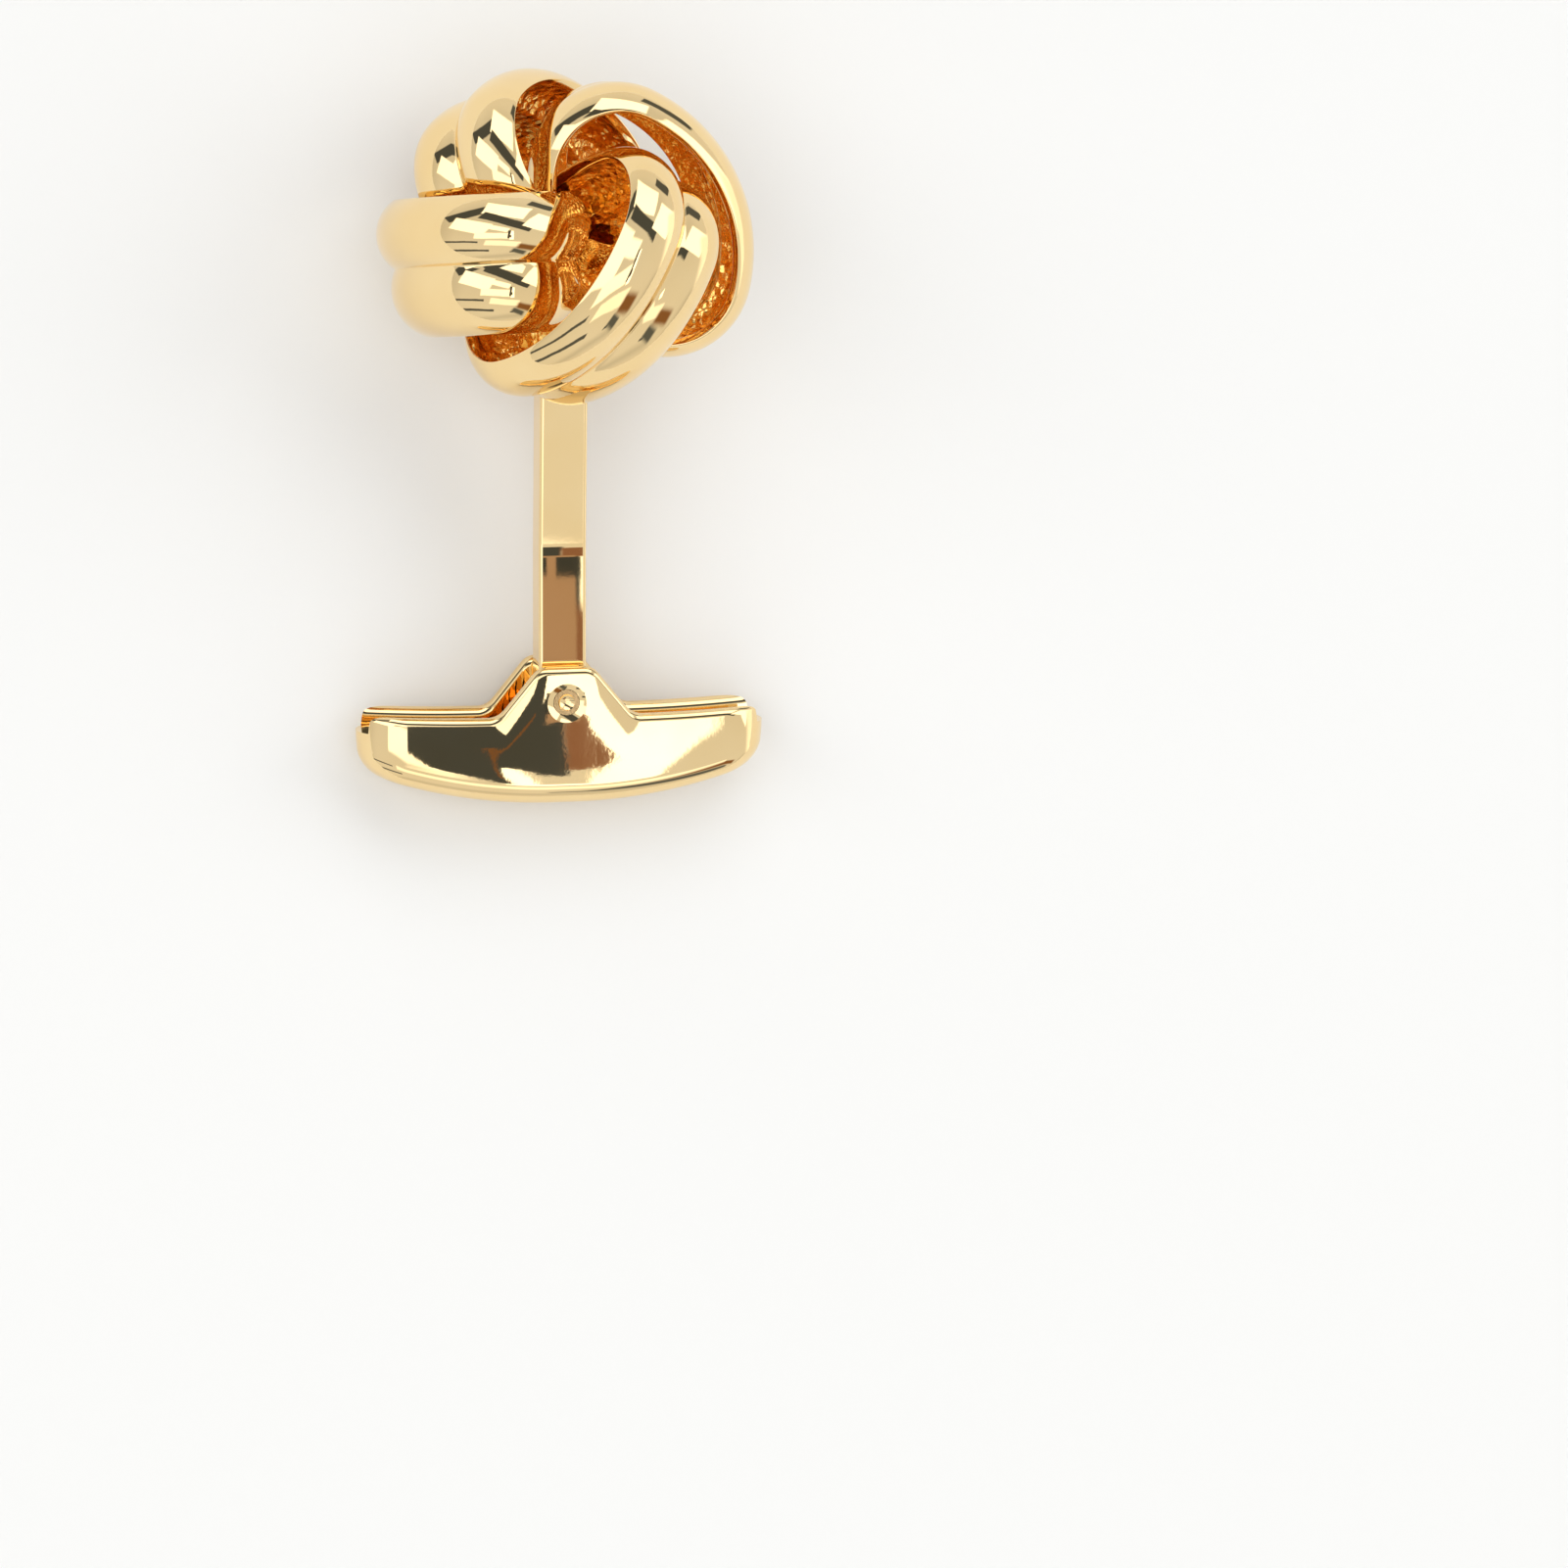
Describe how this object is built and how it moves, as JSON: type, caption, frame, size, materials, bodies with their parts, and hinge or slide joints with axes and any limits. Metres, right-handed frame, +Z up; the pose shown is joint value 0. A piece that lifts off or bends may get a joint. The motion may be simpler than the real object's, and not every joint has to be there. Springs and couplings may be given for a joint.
{
  "type": "cufflink",
  "caption": "Hollow love-knot cufflink: linked double-rib bands soldered to a flat post, with a swivelling whale-back toggle.",
  "frame": {"origin": "on the floor, under the middle of the part's outline", "axes": "+Y from the toggle to the knot, +X along the toggle, +Z up off the floor it lies on"},
  "size_m": [0.0176, 0.031, 0.0147],
  "materials": {
    "polished_gold": "mirror-polished pale gold plate",
    "toggle_gold": "mirror-polished pale gold plate",
    "pin_gold": "satin gold plate"
  },
  "bodies": {
    "post": {"knot_and_post": "polished_gold"},
    "toggle": {"toggle": "toggle_gold", "pivot_pin": "pin_gold"}
  },
  "joints": [
    {"name": "toggle_swivel", "type": "hinge", "parent": "post", "child": "toggle", "pos_m": [0, -0.01095, 0.0026], "axis": [0.0099, 0.2005, -0.9796], "range_deg": [-90, 90]}
  ]
}
